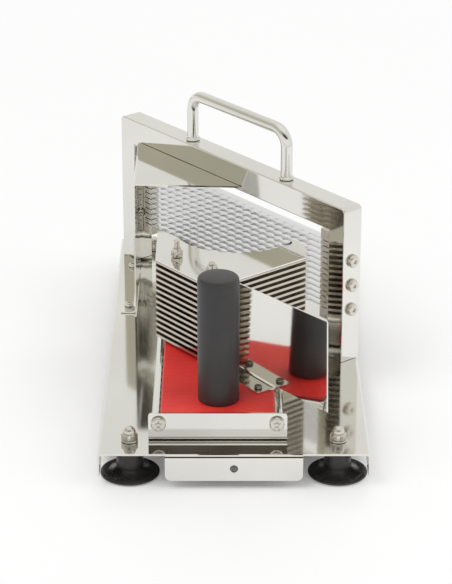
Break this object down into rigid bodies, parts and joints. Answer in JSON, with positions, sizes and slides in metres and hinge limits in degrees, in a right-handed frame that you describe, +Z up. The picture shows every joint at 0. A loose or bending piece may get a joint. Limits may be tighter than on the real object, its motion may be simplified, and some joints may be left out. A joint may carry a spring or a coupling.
{
  "type": "tomato slicer",
  "caption": "Hand-pushed tomato slicer: a V-shaped slotted pusher slides on rods through a diagonal stack of serrated blades in a polished steel frame on suction feet.",
  "frame": {"origin": "centre of the base plate's outline, on the table that the suction feet stand on", "axes": "+X to the right of the person pushing the grip, +Y along the travel towards the blades, +Z up"},
  "size_m": [0.2, 0.424, 0.202],
  "materials": {
    "polished_stainless": "mirror-polished stainless steel",
    "blade_steel": "ground stainless blade steel",
    "fastener_steel": "turned stainless steel",
    "dark_screw": "blackened steel",
    "foot_rubber": "glossy black rubber",
    "red_plastic": "milled red polyethylene",
    "black_grip": "fine-grained black plastic"
  },
  "bodies": {
    "chassis": {"base_plate": "polished_stainless", "blade_frame": "polished_stainless", "carry_handle": "polished_stainless", "safety_guard": "polished_stainless", "guide_rod_left": "polished_stainless", "guide_rod_right": "polished_stainless", "front_bracket": "polished_stainless", "rear_bracket": "polished_stainless", "blade_01": "blade_steel", "blade_02": "blade_steel", "blade_03": "blade_steel", "blade_04": "blade_steel", "blade_05": "blade_steel", "blade_06": "blade_steel", "blade_07": "blade_steel", "blade_08": "blade_steel", "blade_09": "blade_steel", "blade_10": "blade_steel", "blade_11": "blade_steel", "blade_12": "blade_steel", "blade_13": "blade_steel", "suction_foot_front_left": "foot_rubber", "foot_nut_front_left": "fastener_steel", "suction_foot_front_right": "foot_rubber", "foot_nut_front_right": "fastener_steel", "suction_foot_rear_left": "foot_rubber", "foot_nut_rear_left": "fastener_steel", "suction_foot_rear_right": "foot_rubber", "foot_nut_rear_right": "fastener_steel", "frame_bolt_left": "fastener_steel", "frame_bolt_right": "fastener_steel", "handle_screw_left": "fastener_steel", "handle_screw_right": "fastener_steel", "guard_screw_front": "fastener_steel", "guard_screw_rear": "fastener_steel", "left_blade_holder": "fastener_steel", "tension_block": "fastener_steel", "blade_pin_left": "fastener_steel", "blade_pin_right": "fastener_steel", "left_holder_bolt_1": "fastener_steel", "left_holder_bolt_2": "fastener_steel", "tension_bolt_1": "fastener_steel", "tension_bolt_2": "fastener_steel", "tension_bolt_3": "fastener_steel", "rod_screw_left": "fastener_steel", "rod_screw_right": "fastener_steel"},
    "carriage": {"slider_block": "red_plastic", "slotted_pusher": "polished_stainless", "pusher_top_plate": "polished_stainless", "top_plate_bolt_left": "fastener_steel", "top_plate_bolt_right": "fastener_steel", "top_plate_nut_left": "fastener_steel", "top_plate_nut_right": "fastener_steel", "hand_plate": "polished_stainless", "hand_plate_screw_left": "dark_screw", "hand_plate_screw_right": "dark_screw", "grip": "black_grip", "grip_bolt": "fastener_steel"}
  },
  "joints": [
    {"name": "carriage_slide", "type": "slide", "parent": "chassis", "child": "carriage", "axis": [0, 1, 0], "range_m": [0, 0.15]}
  ]
}
